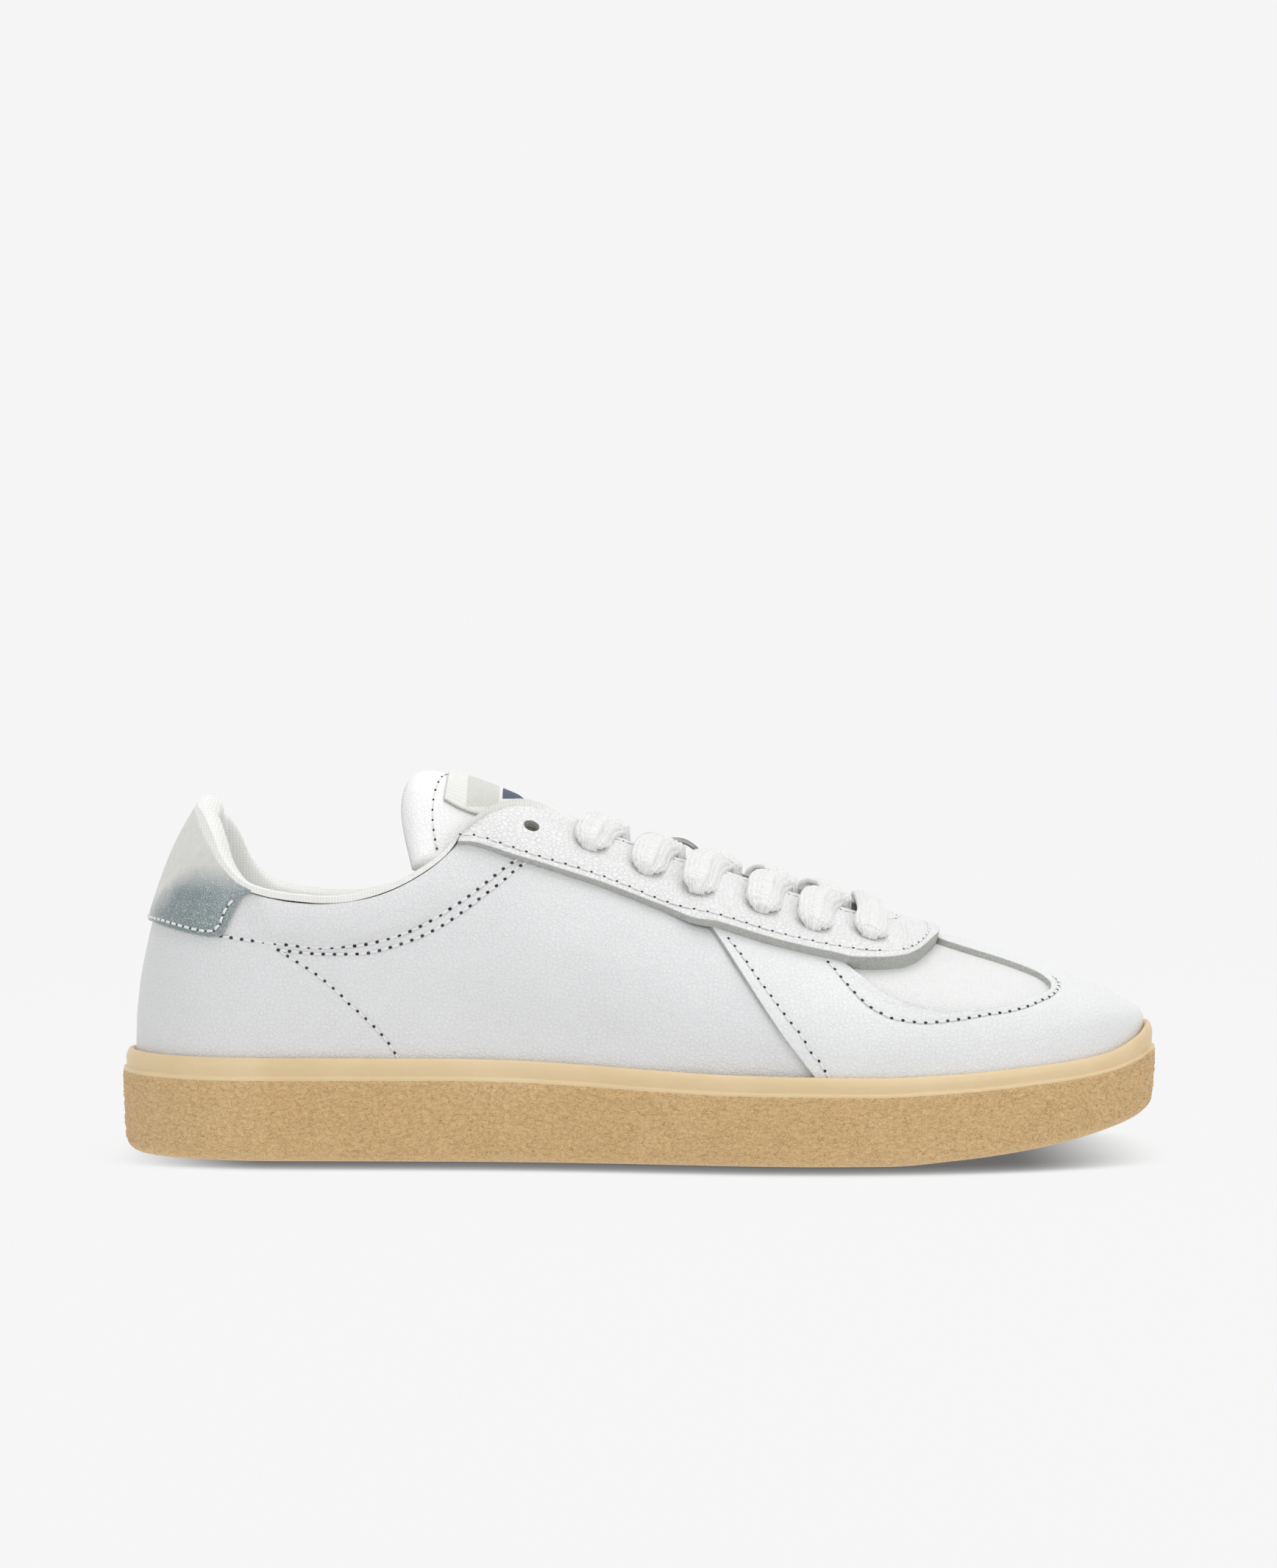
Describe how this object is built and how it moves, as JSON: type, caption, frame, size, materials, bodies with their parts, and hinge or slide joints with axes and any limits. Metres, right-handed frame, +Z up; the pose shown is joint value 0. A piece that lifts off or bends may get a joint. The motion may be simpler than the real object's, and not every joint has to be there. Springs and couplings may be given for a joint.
{
  "type": "court shoe",
  "caption": "Low-cut leather court shoe for the right foot, with a laced throat, padded collar and tongue, and a textured gum cup sole.",
  "frame": {"origin": "on the ground plane, under the middle of the sole's length and on the heel's centre line", "axes": "+X from heel to toe, -Y the outer (lateral) side, +Z up"},
  "size_m": [0.3024, 0.1081, 0.1115],
  "materials": {
    "gum_rubber": "moulded gum rubber: fine crinkled grain on the side wall, smooth upper band",
    "sole_foam": "closed-cell foam",
    "board": "stiff fibre board, matt",
    "sockliner_foam": "open-cell foam",
    "textile_lining": "fine textile, matt",
    "white_leather": "smooth white leather with a fine grain, soft satin",
    "stay_leather": "thicker white leather with raw grey-white edges",
    "tab_leather": "cream leather fading to a grey-green sparkle",
    "collar_foam": "soft padding foam",
    "label": "woven label, grey-green",
    "lace": "ribbed flat cotton lace",
    "aglet": "clear-white plastic sleeve"
  },
  "bodies": {
    "shoe": {"outsole": "gum_rubber", "midsole_filler": "sole_foam", "strobel_board": "board", "heel_counter": "board", "toe_puff": "board", "quarter_lateral": "white_leather", "quarter_medial": "white_leather", "toe_box_panel": "white_leather", "toe_overlay": "white_leather", "eyestay": "stay_leather", "eyelet_reinforcement_lateral": "board", "eyelet_reinforcement_medial": "board", "heel_tab": "tab_leather", "collar_foam": "collar_foam", "collar_lining": "textile_lining", "vamp_lining": "textile_lining", "shoelace": "lace", "aglet_lateral": "aglet", "aglet_medial": "aglet"},
    "tongue": {"tongue_outer": "white_leather", "tongue_foam": "collar_foam", "tongue_lining": "textile_lining", "tongue_label": "label"},
    "sockliner": {"sockliner_foam": "sockliner_foam", "sockliner_cover": "textile_lining"}
  },
  "joints": [
    {"name": "tongue_hinge", "type": "hinge", "parent": "shoe", "child": "tongue", "pos_m": [0.074, 0, 0.054], "axis": [0, -1, 0], "range_deg": [0, 10]},
    {"name": "sockliner_lift", "type": "hinge", "parent": "shoe", "child": "sockliner", "pos_m": [0.1425, 0, 0.0215], "axis": [0, 1, 0], "range_deg": [0, 5]}
  ]
}
